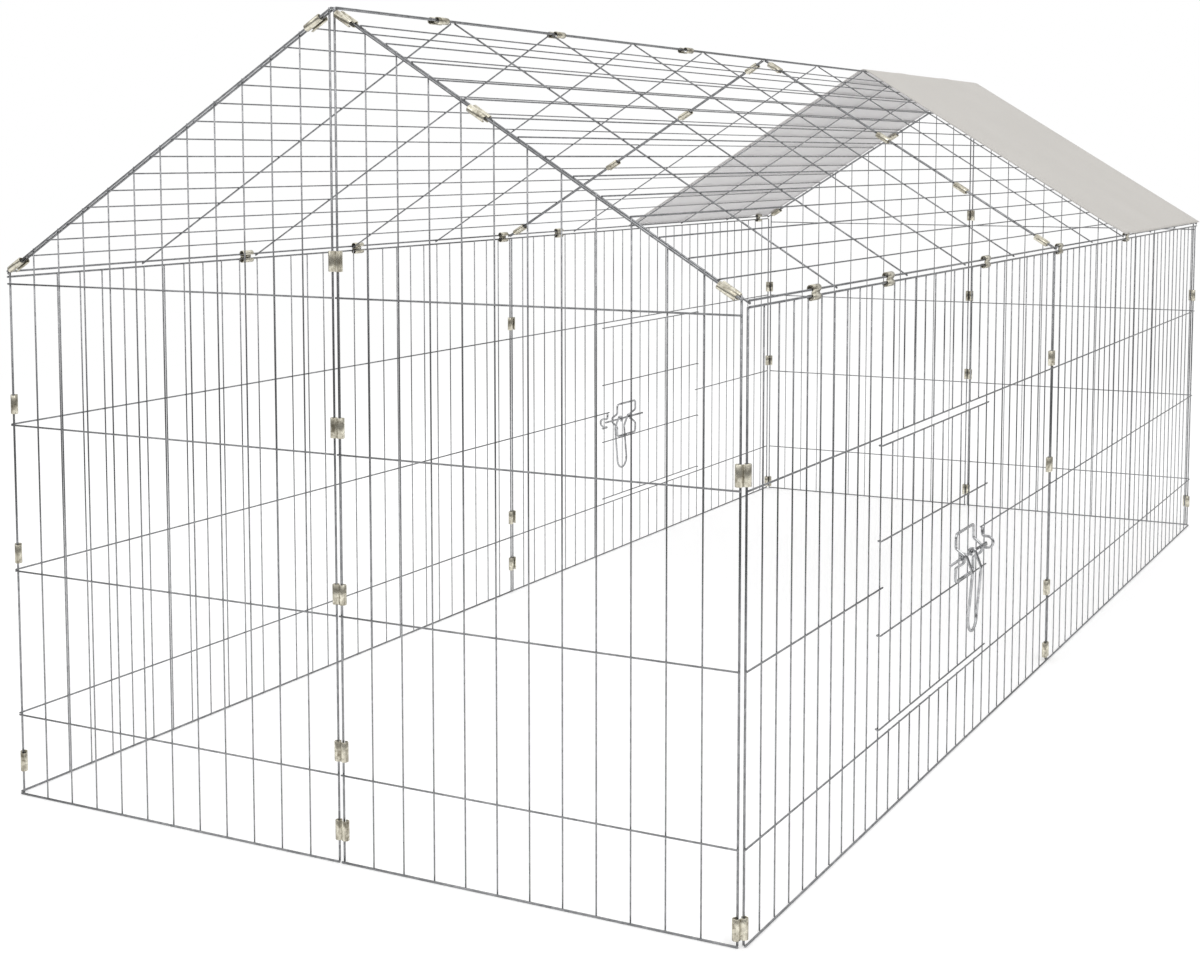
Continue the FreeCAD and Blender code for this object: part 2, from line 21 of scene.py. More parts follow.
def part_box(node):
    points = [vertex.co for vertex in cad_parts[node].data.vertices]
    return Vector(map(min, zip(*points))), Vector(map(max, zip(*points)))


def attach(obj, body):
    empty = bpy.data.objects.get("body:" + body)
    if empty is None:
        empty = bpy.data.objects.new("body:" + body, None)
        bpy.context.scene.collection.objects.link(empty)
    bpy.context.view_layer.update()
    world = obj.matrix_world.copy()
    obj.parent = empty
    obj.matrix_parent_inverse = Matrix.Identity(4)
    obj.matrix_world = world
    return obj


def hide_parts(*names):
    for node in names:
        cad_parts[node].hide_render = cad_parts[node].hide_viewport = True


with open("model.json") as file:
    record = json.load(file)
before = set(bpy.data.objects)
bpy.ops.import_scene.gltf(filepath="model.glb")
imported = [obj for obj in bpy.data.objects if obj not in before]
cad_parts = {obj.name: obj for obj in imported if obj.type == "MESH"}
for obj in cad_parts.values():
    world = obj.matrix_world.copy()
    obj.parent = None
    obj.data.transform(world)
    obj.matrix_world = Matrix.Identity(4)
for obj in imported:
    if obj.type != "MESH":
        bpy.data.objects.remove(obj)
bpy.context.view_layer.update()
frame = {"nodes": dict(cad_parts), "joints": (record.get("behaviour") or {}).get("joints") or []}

LOG = logging.getLogger("pet_run")

Point = np.ndarray
Place = tuple[float, float, float]
Colour = tuple[float, float, float]

TOUCH = 1e-5
MERGE_DIGITS = 6
MIDDLE_OF_RUN = np.array([0.0, 0.0, 0.35])
SKY = np.array([0.0, 0.0, 1.0])
LEVEL = np.array([1.0, 1.0, 0.0])

# Most of a run that one bend takes, and the turn in radians that still counts as straight
BEND_ROOM = 0.49
STRAIGHT = 0.01

# Zinc: grain per crystal, marks along a metre, noise detail, and what patches and grain add to the tone
GRAIN_PER_CRYSTAL = 2.5
GRAIN_DETAIL = 4.0
MARKS_PER_METRE = 55.0
MARK_DETAIL = 3.0
PATCH_SHARE = 0.45
GRAIN_SHARE = 0.55
NOISE_MIDDLE = 0.5

# Cloth: slubs across and along a thread per metre, clouds per metre, and what each adds to the tone
SLUBS_ACROSS = 900.0
SLUBS_ALONG = 40.0
SLUB_DETAIL = 2.0
CLOUDS = 9.0
CLOUD_DETAIL = 5.0
CROSSING_SHARE = 0.22
SLUB_SHARE = 0.5
CLOUD_SHARE = 0.4
TONE_BASE = 0.05
CROSSING_RISE = 0.5


class Slot(Enum):
    """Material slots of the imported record."""

    WIRE = "galvanised_wire"
    CLIP = "zinc_clip"
    LATCH = "latch_wire"
    CLOTH = "shade_cloth"


class Hand(Enum):
    """The two long walls, named as seen from the front gable."""

    RIGHT = "right"
    LEFT = "left"

    @property
    def along(self) -> Point:
        """Direction to the viewer's right for someone who faces the wall from outside."""
        return np.array([1.0 if self is Hand.RIGHT else -1.0, 0.0, 0.0])

    @property
    def out(self) -> Point:
        """Direction out of the wall."""
        return np.array([0.0, -1.0 if self is Hand.RIGHT else 1.0, 0.0])

    @property
    def hinge(self) -> Point:
        """A point on the hinge axis of the wall's door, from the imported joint."""
        joint = next(j for j in frame["joints"] if j["name"] == self.value + "_door_hinge")
        return np.array(joint["pos_m"])


def unit(vector: Point) -> Point:
    """The same direction, one metre long."""
    return vector / np.linalg.norm(vector)


def square_to(direction: Point) -> Point:
    """Some direction at right angles to the one given."""
    helper = np.eye(3)[int(np.argmin(np.abs(direction)))]
    return unit(np.cross(direction, helper))


def halfway(points: Point) -> Point:
    """Halfway between the least and the greatest of each column."""
    return (points.max(axis=0) + points.min(axis=0)) / 2


def eased(share: Point) -> Point:
    """A share from 0 to 1 that starts and ends gently."""
    return share * share * (3.0 - 2.0 * share)


def arc(centre: Point, first: Point, second: Point, turns: Point) -> list[Point]:
    """Points round a centre, from its first arm towards its second, at these turns in radians."""
    return [centre + first * math.cos(turn) + second * math.sin(turn) for turn in turns]


def bend(corners: Sequence[Point], radius: float, steps: int = 6) -> list[Point]:
    """Rounds the corners of a bent wire's route.

    Args:
        corners: the route's corners, with its two ends.
        radius: radius of the bends, less where the runs leave no room for it.
        steps: chords in each bend.

    Returns:
        Points along the rounded route.
    """
    route = [np.asarray(corners[0], float)]
    for before, corner, after in zip(corners, corners[1:], corners[2:]):
        room = BEND_ROOM * min(np.linalg.norm(before - corner), np.linalg.norm(after - corner))
        back, onward = unit(before - corner), unit(after - corner)
        half = math.acos(max(-1.0, min(1.0, float(back @ onward)))) / 2
        turn = math.pi - 2 * half
        if turn < STRAIGHT:
            route.append(corner)
            continue
        reach = min(radius / math.tan(half), room)
        centre = corner + unit(back + onward) * reach / math.cos(half)
        first, last = corner + back * reach - centre, corner + onward * reach - centre
        for share in np.linspace(0.0, 1.0, steps + 1):
            arm = first * math.sin((1 - share) * turn) + last * math.sin(share * turn)
            route.append(centre + arm / math.sin(turn))
    route.append(np.asarray(corners[-1], float))
    return route


def new_object(name: str, data: ID) -> Object:
    """Puts an object in the scene.

    Args:
        name: name of the object.
        data: its mesh, light or camera.

    Returns:
        The object.
    """
    made = bpy.data.objects.new(name, data)
    bpy.context.scene.collection.objects.link(made)
    return made


class MeshDraft:
    """A piece's mesh while it is drawn, with the flat place of every face corner."""

    # Share of its radius that a cut end loses, a bead's corners and tilts, and where an edge turns sharp
    CHAMFER = 0.3
    BEAD_SIDES = 8
    BEAD_TILTS = np.radians([-70.0, -30.0, 0.0, 30.0, 70.0])
    SHARP_EDGE = math.radians(50.0)

    def __init__(self) -> None:
        """Starts an empty draft."""
        self.corners: list[Point] = []
        self.faces: list[list[int]] = []
        self.flat: list[tuple[float, float]] = []
        self.finishes: list[int] = []

    def face(self, corners: list[int], flat: list[tuple[float, float]], finish: int) -> None:
        """Adds one face.

        Args:
            corners: numbers of its corners, anticlockwise from outside.
            flat: flat place of each corner.
            finish: number of the finish.
        """
        self.faces.append(corners)
        self.flat.extend(flat)
        self.finishes.append(finish)

    def loft(self, rings: Sequence[Point], lengths: Sequence[float], girth: float, finish: int = 0) -> None:
        """Skins a row of rings and closes both ends.

        Args:
            rings: corner points of each ring, running anticlockwise round the way of the loft.
            lengths: distance of each ring from the start of the loft.
            girth: distance round a ring.
            finish: number of the finish.
        """
        first, count = len(self.corners), len(rings[0])
        for ring in rings:
            self.corners.extend(ring)
        for i in range(len(rings) - 1):
            near, far = first + i * count, first + (i + 1) * count
            for j in range(count):
                k = (j + 1) % count
                low, high = girth * j / count, girth * (j + 1) / count
                start, end = lengths[i], lengths[i + 1]
                flat = [(low, start), (high, start), (high, end), (low, end)]
                self.face([near + j, near + k, far + k, far + j], flat, finish)
        last = first + (len(rings) - 1) * count
        for ring in (list(range(first + count - 1, first - 1, -1)), list(range(last, last + count))):
            self.face(ring, [(girth * j / count, lengths[0]) for j in range(count)], finish)

    def tube(self, path: Sequence[Point], radius: float, sides: int, finish: int = 0) -> None:
        """Draws a round wire along a path, its cut ends slightly rounded.

        Args:
            path: points on the wire's axis.
            radius: radius of the wire.
            sides: corners of each ring.
            finish: number of the finish.
        """
        points = np.array(path)
        steps = np.diff(points, axis=0)
        ways = steps / np.linalg.norm(steps, axis=1)[:, None]
        tangents = np.vstack([ways[:1], ways[:-1] + ways[1:], ways[-1:]])
        tangents /= np.linalg.norm(tangents, axis=1)[:, None]
        lead = ways[0] * radius * self.CHAMFER
        tail = ways[-1] * radius * self.CHAMFER
        points = np.vstack([points[:1], points[:1] + lead, points[1:-1], points[-1:] - tail, points[-1:]])
        tangents = np.vstack([tangents[:1], tangents, tangents[-1:]])
        shares = np.ones(len(points))
        shares[[0, -1]] = 1.0 - self.CHAMFER
        lengths = np.concatenate([[0.0], np.cumsum(np.linalg.norm(np.diff(points, axis=0), axis=1))])
        turns = np.arange(sides) * 2 * math.pi / sides
        side = square_to(tangents[0])
        rings = []
        for point, tangent, share in zip(points, tangents, shares):
            side = unit(side - tangent * (side @ tangent))
            other = np.cross(tangent, side)
            spokes = np.cos(turns)[:, None] * side + np.sin(turns)[:, None] * other
            rings.append(point + spokes * radius * share)
        self.loft(rings, lengths, 2 * math.pi * radius, finish)

    def bead(self, centre: Point, along: Point, out: Point, reach: float, depth: float,
             finish: int) -> None:
        """Draws a flattened bead of weld metal.

        Args:
            centre: middle of the bead.
            along: direction of one of the two wires.
            out: direction from one wire to the other.
            reach: half of the bead's width.
            depth: half of its thickness.
            finish: number of the finish.
        """
        other = np.cross(out, along)
        turns = np.arange(self.BEAD_SIDES) * 2 * math.pi / self.BEAD_SIDES
        spokes = np.cos(turns)[:, None] * along + np.sin(turns)[:, None] * other
        rings = []
        for tilt in self.BEAD_TILTS:
            rings.append(centre + out * depth * math.sin(tilt) + spokes * reach * math.cos(tilt))
        self.loft(rings, np.linspace(0.0, 2 * depth, len(rings)), 2 * math.pi * reach, finish)

    def piece(self, name: str, finishes: Sequence[Material]) -> Object:
        """Turns the draft into an object.

        Args:
            name: name of the object.
            finishes: its materials, in the order of the finish numbers.

        Returns:
            The object, in the scene.
        """
        mesh = bpy.data.meshes.new(name)
        mesh.from_pydata([tuple(corner) for corner in self.corners], [], self.faces)
        layer = mesh.uv_layers.new(name="flat")
        layer.data.foreach_set("uv", np.array(self.flat, np.float32).ravel())
        for material in finishes:
            mesh.materials.append(material)
        mesh.polygons.foreach_set("material_index", self.finishes)
        mesh.polygons.foreach_set("use_smooth", [True] * len(self.faces))
        mesh.set_sharp_from_angle(angle=self.SHARP_EDGE)
        mesh.update()
        return new_object(name, mesh)


class NodeDesk:
    """Places and joins the nodes of one tree."""

    # Colour sockets of the mix node, by number because it repeats their names for other types
    MIX_INPUTS = (0, 6, 7)
    MIX_OUTPUT = 2

    def __init__(self, tree: NodeTree) -> None:
        """Takes the tree to work on."""
        self.tree = tree

    def add(self, kind: str, settings: Optional[dict] = None, **inputs: object) -> Node:
        """Adds a node.

        Args:
            kind: the node's type, without its ShaderNode prefix.
            settings: attributes to set on the node.
            inputs: values or source sockets by socket name, with spaces as underscores.

        Returns:
            The node.
        """
        node = self.tree.nodes.new("ShaderNode" + kind)
        for key, value in (settings or {}).items():
            setattr(node, key, value)
        for key, value in inputs.items():
            self.feed(node.inputs[key.replace("_", " ")], value)
        return node

    def feed(self, socket: NodeSocket, value: object) -> None:
        """Links a source to a socket, or sets the socket to a plain value.

        Args:
            socket: the socket.
            value: a source socket or a plain value.
        """
        if isinstance(value, NodeSocket):
            self.tree.links.new(value, socket)
        else:
            socket.default_value = value

    def math(self, operation: str, *values: object) -> NodeSocket:
        """Adds a math node.

        Args:
            operation: what it does.
            values: one, two or three values or source sockets.

        Returns:
            Its result.
        """
        node = self.add("Math", {"operation": operation})
        for socket, value in zip(node.inputs, values):
            self.feed(socket, value)
        return node.outputs[0]

    def blend(self, share: object, first: object, second: object) -> NodeSocket:
        """Mixes two colours.

        Args:
            share: share of the second.
            first: the colour at share 0.
            second: the colour at share 1.

        Returns:
            The mixed colour.
        """
        node = self.add("Mix", {"data_type": "RGBA"})
        for index, value in zip(self.MIX_INPUTS, (share, first, second)):
            self.feed(node.inputs[index], value)
        return node.outputs[self.MIX_OUTPUT]

    def spread(self, value: object, low: object, high: object) -> NodeSocket:
        """A value from 0 to 1 laid out between two others."""
        return self.add("MapRange", Value=value, To_Min=low, To_Max=high).outputs[0]

    def ramp(self, value: object, low: float, high: float) -> NodeSocket:
        """How far a value has gone between two others, from 0 to 1."""
        return self.add("MapRange", Value=value, From_Min=low, From_Max=high).outputs[0]


def new_group(name: str, inputs: dict[str, str], outputs: dict[str, str]) -> tuple[NodeDesk, dict, dict]:
    """Starts a shader node group.

    Args:
        name: name of the group.
        inputs: socket types by input name.
        outputs: socket types by output name.

    Returns:
        The desk of the group's tree, its input sockets and its output sockets, by name.
    """
    tree = bpy.data.node_groups.new(name, "ShaderNodeTree")
    for direction, sockets in (("INPUT", inputs), ("OUTPUT", outputs)):
        for label, kind in sockets.items():
            tree.interface.new_socket(label, in_out=direction, socket_type="NodeSocket" + kind)
    entry = tree.nodes.new("NodeGroupInput")
    leave = tree.nodes.new("NodeGroupOutput")
    sources = {label: entry.outputs[label] for label in inputs}
    sinks = {label: leave.inputs[label] for label in outputs}
    return NodeDesk(tree), sources, sinks


@lru_cache(maxsize=None)
def zinc_grain() -> NodeTree:
    """Makes the group for metal: crystal patches, fine grain and marks along the drawn or rolled length.

    Returns:
        The group's tree.
    """
    inputs = {"Crystal": "Float", "Mark": "Float", "Streak": "Float", "Light": "Color", "Dark": "Color"}
    inputs.update({"Smooth": "Float", "Rough": "Float"})
    outputs = {"Color": "Color", "Roughness": "Float", "Height": "Float"}
    desk, source, sink = new_group("zinc_grain", inputs, outputs)
    place = desk.add("TexCoord").outputs["Object"]
    density = desk.math("DIVIDE", 1.0, source["Crystal"])
    cells = desk.add("TexVoronoi", Vector=place, Scale=density)
    patch = desk.add("SeparateColor", Color=cells.outputs["Color"]).outputs[0]
    grains = desk.math("MULTIPLY", density, GRAIN_PER_CRYSTAL)
    fine = desk.add("TexNoise", Vector=place, Scale=grains, Detail=GRAIN_DETAIL)
    flat = desk.add("UVMap", {"uv_map": "flat"}).outputs[0]
    across = desk.math("DIVIDE", 1.0, source["Mark"])
    stretch = desk.add("CombineXYZ", X=across, Y=MARKS_PER_METRE, Z=1.0).outputs[0]
    drawn = desk.add("Mapping", Vector=flat, Scale=stretch).outputs[0]
    marks = desk.add("TexNoise", {"noise_dimensions": "2D"}, Vector=drawn, Scale=1.0, Detail=MARK_DETAIL)
    swing = desk.math("SUBTRACT", marks.outputs[0], NOISE_MIDDLE)
    stripe = desk.math("MULTIPLY", swing, source["Streak"])
    grain = desk.math("MULTIPLY", fine.outputs[0], GRAIN_SHARE)
    mottle = desk.math("MULTIPLY_ADD", patch, PATCH_SHARE, grain)
    tone = desk.add("Clamp", Value=desk.math("ADD", mottle, stripe)).outputs[0]
    desk.feed(sink["Color"], desk.blend(tone, source["Dark"], source["Light"]))
    desk.feed(sink["Roughness"], desk.spread(tone, source["Rough"], source["Smooth"]))
    desk.feed(sink["Height"], desk.math("ADD", fine.outputs[0], stripe))
    return desk.tree


@lru_cache(maxsize=None)
def plain_weave() -> NodeTree:
    """Makes the group for cloth: over-and-under threads with slubs along them, and faint clouding.

    Returns:
        The group's tree.
    """
    inputs = {"Thread": "Float", "Light": "Color", "Dark": "Color"}
    outputs = {"Color": "Color", "Height": "Float"}
    desk, source, sink = new_group("plain_weave", inputs, outputs)
    flat = desk.add("UVMap", {"uv_map": "flat"}).outputs[0]
    ways = desk.add("SeparateXYZ", Vector=flat)
    waves = []
    for axis in (0, 1):
        turns = desk.math("DIVIDE", ways.outputs[axis], source["Thread"])
        waves.append(desk.math("SINE", desk.math("MULTIPLY", turns, math.pi)))
    crossing = desk.math("MULTIPLY", waves[0], waves[1])
    plane = {"noise_dimensions": "2D"}
    slubs = []
    for scale in ((SLUBS_ACROSS, SLUBS_ALONG, 1.0), (SLUBS_ALONG, SLUBS_ACROSS, 1.0)):
        stretched = desk.add("Mapping", Vector=flat, Scale=scale).outputs[0]
        noise = desk.add("TexNoise", plane, Vector=stretched, Scale=1.0, Detail=SLUB_DETAIL)
        slubs.append(noise.outputs[0])
    slub = desk.math("DIVIDE", desk.math("ADD", slubs[0], slubs[1]), len(slubs))
    cloud = desk.add("TexNoise", plane, Vector=flat, Scale=CLOUDS, Detail=CLOUD_DETAIL)
    tone = desk.math("MULTIPLY_ADD", slub, SLUB_SHARE, TONE_BASE)
    tone = desk.math("MULTIPLY_ADD", crossing, CROSSING_SHARE, tone)
    tone = desk.math("MULTIPLY_ADD", cloud.outputs[0], CLOUD_SHARE, tone)
    clamped = desk.add("Clamp", Value=tone).outputs[0]
    desk.feed(sink["Color"], desk.blend(clamped, source["Dark"], source["Light"]))
    desk.feed(sink["Height"], desk.math("MULTIPLY_ADD", crossing, CROSSING_RISE, slub))
    return desk.tree


def new_material(name: str) -> tuple[Material, NodeDesk, Node]:
    """Starts a material.

    Args:
        name: name of the material.

    Returns:
        The material, the desk of its nodes and its Principled BSDF.
    """
    material = bpy.data.materials.new(name)
    material.use_nodes = True
    return material, NodeDesk(material.node_tree), material.node_tree.nodes["Principled BSDF"]


@dataclass(frozen=True)
class MetalFinish:
    """A metal surface.

    Two tones of crystal and grain, how smooth and rough it runs, the size of its crystals, the
    width and strength of the marks along it, the depth of its relief and the tint at its rim.
    """

    name: str
    light: Colour
    dark: Colour
    metallic: float
    smooth: float
    rough: float
    crystal: float
    mark: float
    streak: float
    relief: float
    edge: Colour = (0.6, 0.6, 0.6)

    def material(self) -> Material:
        """Makes the finish's material.

        Returns:
            The material.
        """
        material, desk, surface = new_material(self.name)
        grain = desk.add("Group", {"node_tree": zinc_grain()}, Crystal=self.crystal, Mark=self.mark,
                         Streak=self.streak, Smooth=self.smooth, Rough=self.rough,
                         Light=(*self.light, 1.0), Dark=(*self.dark, 1.0))
        bump = desk.add("Bump", Strength=1.0, Distance=self.relief, Height=grain.outputs["Height"])
        desk.feed(surface.inputs["Base Color"], grain.outputs["Color"])
        desk.feed(surface.inputs["Roughness"], grain.outputs["Roughness"])
        desk.feed(surface.inputs["Normal"], bump.outputs[0])
        surface.inputs["Metallic"].default_value = self.metallic
        surface.inputs["Specular Tint"].default_value = (*self.edge, 1.0)
        return material


@dataclass(frozen=True)
class ClothFinish:
    """A plain-woven cloth: two tones, the spacing of its threads, how they stand out, and its sheen."""

    name: str
    light: Colour
    dark: Colour
    thread: float
    relief: float
    bump: float = 0.6
    roughness: float = 0.85
    sheen: float = 0.15

    def material(self) -> Material:
        """Makes the finish's material.

        Returns:
            The material.
        """
        material, desk, surface = new_material(self.name)
        weave = desk.add("Group", {"node_tree": plain_weave()}, Thread=self.thread,
                         Light=(*self.light, 1.0), Dark=(*self.dark, 1.0))
        bump = desk.add("Bump", Strength=self.bump, Distance=self.relief, Height=weave.outputs["Height"])
        desk.feed(surface.inputs["Base Color"], weave.outputs["Color"])
        desk.feed(surface.inputs["Normal"], bump.outputs[0])
        surface.inputs["Roughness"].default_value = self.roughness
        surface.inputs["Sheen Weight"].default_value = self.sheen
        return material


GALVANISED = MetalFinish("galvanised_wire", light=(0.41, 0.415, 0.425), dark=(0.145, 0.148, 0.155),
                         metallic=0.9, smooth=0.16, rough=0.34, crystal=0.004, mark=1.7e-4, streak=0.5,
                         relief=2e-5)
WELD = MetalFinish("weld_bead", light=(0.36, 0.355, 0.345), dark=(0.125, 0.123, 0.12), metallic=0.8,
                   smooth=0.4, rough=0.65, crystal=0.0006, mark=1.7e-4, streak=0.0, relief=6e-5)
BRIGHT = MetalFinish("bright_wire", light=(0.72, 0.725, 0.735), dark=(0.28, 0.285, 0.295), metallic=0.95,
                     smooth=0.10, rough=0.26, crystal=0.005, mark=9e-4, streak=1.0, relief=2e-5)
KHAKI = MetalFinish("khaki_zinc", light=(0.93, 0.89, 0.75), dark=(0.24, 0.215, 0.16), metallic=0.85,
                    smooth=0.16, rough=0.36, crystal=0.0022, mark=2.6e-3, streak=1.6, relief=3e-5)
SHADE = ClothFinish("shade_cloth", light=(0.685, 0.66, 0.62), dark=(0.565, 0.54, 0.505), thread=0.0007,
                    relief=1.2e-4)
# The underside is paler than the top: painted light, standing for the light that comes through the cloth
UNDERSIDE_PAINTED_LIGHT = ClothFinish("shade_underside_painted_light", light=(0.90, 0.885, 0.885), dark=(0.78, 0.765, 0.765), thread=0.0007,
                     relief=0.8e-4)
# The hem, seen from below, is pale like the underside: painted light through the cloth, a little darker
HEM = ClothFinish("shade_hem", light=(0.80, 0.785, 0.78), dark=(0.69, 0.675, 0.67), thread=0.0007,
                  relief=1.2e-4)


@lru_cache(maxsize=None)
def material_of(finish: MetalFinish | ClothFinish) -> Material:
    """The one material made from a finish."""
    return finish.material()


def solids_of(node: str) -> list[Point]:
    """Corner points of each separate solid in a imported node.

    Args:
        node: name of the node.

    Returns:
        One array of points for each solid.
    """
    mesh = frame["nodes"][node].data
    corners = np.empty(len(mesh.vertices) * 3)
    mesh.vertices.foreach_get("co", corners)
    places, merged = np.unique(corners.reshape(-1, 3).round(MERGE_DIGITS), axis=0, return_inverse=True)
    edges = np.empty(len(mesh.edges) * 2, int)
    mesh.edges.foreach_get("vertices", edges)
    pairs = merged.ravel()[edges].reshape(-1, 2)
    label = np.arange(len(places))
    settled = False
    while not settled:
        before = label.copy()
        lowest = label[pairs].min(axis=1)
        np.minimum.at(label, pairs[:, 0], lowest)
        np.minimum.at(label, pairs[:, 1], lowest)
        settled = bool((label == before).all())
    return [places[label == number] for number in np.unique(label)]


@dataclass(frozen=True)
class Bar:
    """A straight length of wire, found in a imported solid."""

    start: Point
    end: Point
    radius: float

    @classmethod
    def found_in(cls, corners: Point) -> Optional["Bar"]:
        """Finds a straight bar in a solid.

        Args:
            corners: the solid's corner points.

        Returns:
            The bar, or None if the corners aren't all at its two ends.
        """
        middle = corners.mean(axis=0)
        way = np.linalg.svd(corners - middle)[2][0]
        places = (corners - middle) @ way
        low, high = places < places.min() + TOUCH, places > places.max() - TOUCH
        if not (low | high).all():
            return None
        start, end = corners[low].mean(axis=0), corners[high].mean(axis=0)
        spoke = np.linalg.norm(corners[low] - start, axis=1).max()
        return cls(start, end, spoke * math.cos(math.pi / low.sum()))

    @property
    def way(self) -> Point:
        """Direction of the bar."""
        return unit(self.end - self.start)


@dataclass
class Piece:
    """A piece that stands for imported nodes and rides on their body."""

    node: str
    body: str
    slot: Slot

    def place(self, draft: MeshDraft, finishes: Sequence[MetalFinish | ClothFinish]) -> None:
        """Makes the drawn piece stand for its node.

        Args:
            draft: the piece's mesh.
            finishes: its finishes, in the order of their numbers.
        """
        made = draft.piece(self.node + "_dressed", [material_of(finish) for finish in finishes])
        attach(made, self.body)
        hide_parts(self.node)
        LOG.info("%s: %d faces", made.name, len(draft.faces))


@dataclass
class WeldedPanel(Piece):
    """A panel of round wire with a weld bead wherever two wires touch.

    Beads and slack are shares of the wires' radii, and the overhang is a share of a wire's length.
    """

    slot: Slot = Slot.WIRE
    sides: int = 14
    bead_reach: float = 0.95
    bead_depth: float = 0.42
    weld_slack: float = 0.12
    least_sine: float = 0.2
    overhang: float = 0.01

    def build(self) -> None:
        """Draws the panel's wires and welds and puts it in place of its node."""
        draft = MeshDraft()
        bars = []
        for corners in solids_of(self.node):
            bar = Bar.found_in(corners)
            if bar is None:
                bar = self.draw_bent(draft, corners)
            else:
                draft.tube([bar.start, bar.end], bar.radius, self.sides)
            bars.append(bar)
        self.draw_welds(draft, bars)
        self.place(draft, [GALVANISED, WELD])

    def draw_bent(self, draft: MeshDraft, corners: Point) -> Bar:
        """Draws a wire that isn't straight; a plain panel has none."""
        raise ValueError(self.node + " has a bent wire")

    def draw_welds(self, draft: MeshDraft, bars: Sequence[Bar]) -> None:
        """Draws a bead at each place where two bars touch.

        Args:
            draft: the mesh to draw in.
            bars: the panel's wires.
        """
        for i, first in enumerate(bars):
            for second in bars[i + 1:]:
                out = np.cross(first.way, second.way)
                if np.linalg.norm(out) < self.least_sine:
                    continue
                out = unit(out)
                apart = float((second.start - first.start) @ out)
                if abs(abs(apart) / (first.radius + second.radius) - 1.0) > self.weld_slack:
                    continue
                crossing = self.crossing(first, second)
                if crossing is None:
                    continue
                toward = out * math.copysign(1.0, apart)
                small = min(first.radius, second.radius)
                draft.bead(crossing + toward * first.radius, first.way, toward,
                           small * self.bead_reach, small * self.bead_depth, 1)

    def crossing(self, first: Bar, second: Bar) -> Optional[Point]:
        """Finds where two bars cross.

        Args:
            first: one bar.
            second: the other.

        Returns:
            The point on the first bar's axis nearest to the second, or None if it lies off either bar.
        """
        run_a, run_b = first.end - first.start, second.end - second.start
        between = second.start - first.start
        system = np.array([[run_a @ run_a, -run_a @ run_b], [run_a @ run_b, -run_b @ run_b]])
        share_a, share_b = np.linalg.solve(system, [between @ run_a, between @ run_b])
        if not all(-self.overhang < share < 1.0 + self.overhang for share in (share_a, share_b)):
            return None
        return first.start + run_a * share_a


@dataclass
class Door(WeldedPanel):
    """A door whose rails hook round the hinge upright of its wall."""

    hand: Hand = Hand.RIGHT
    hook_radius: float = 0.00175
    hook_turn: float = math.radians(225.0)
    hook_steps: int = 18
    rail_radius: float = 0.0008

    def draw_bent(self, draft: MeshDraft, corners: Point) -> Bar:
        """Draws a rail, straight across the door and hooked at the hinge.

        Args:
            draft: the mesh to draw in.
            corners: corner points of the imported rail.

        Returns:
            The rail's straight run.
        """
        height = SKY * float(corners[:, 2].mean())
        foot = self.hand.hinge * LEVEL + height
        reach = float(((corners - foot) @ self.hand.along).max())
        end = foot + self.hand.along * reach + self.hand.out * self.hook_radius
        turns = np.linspace(0.0, self.hook_turn, self.hook_steps)
        hook = arc(foot, self.hand.out * self.hook_radius, -self.hand.along * self.hook_radius, turns)
        draft.tube([end, *hook], self.rail_radius, self.sides)
        return Bar(hook[0], end, self.rail_radius)


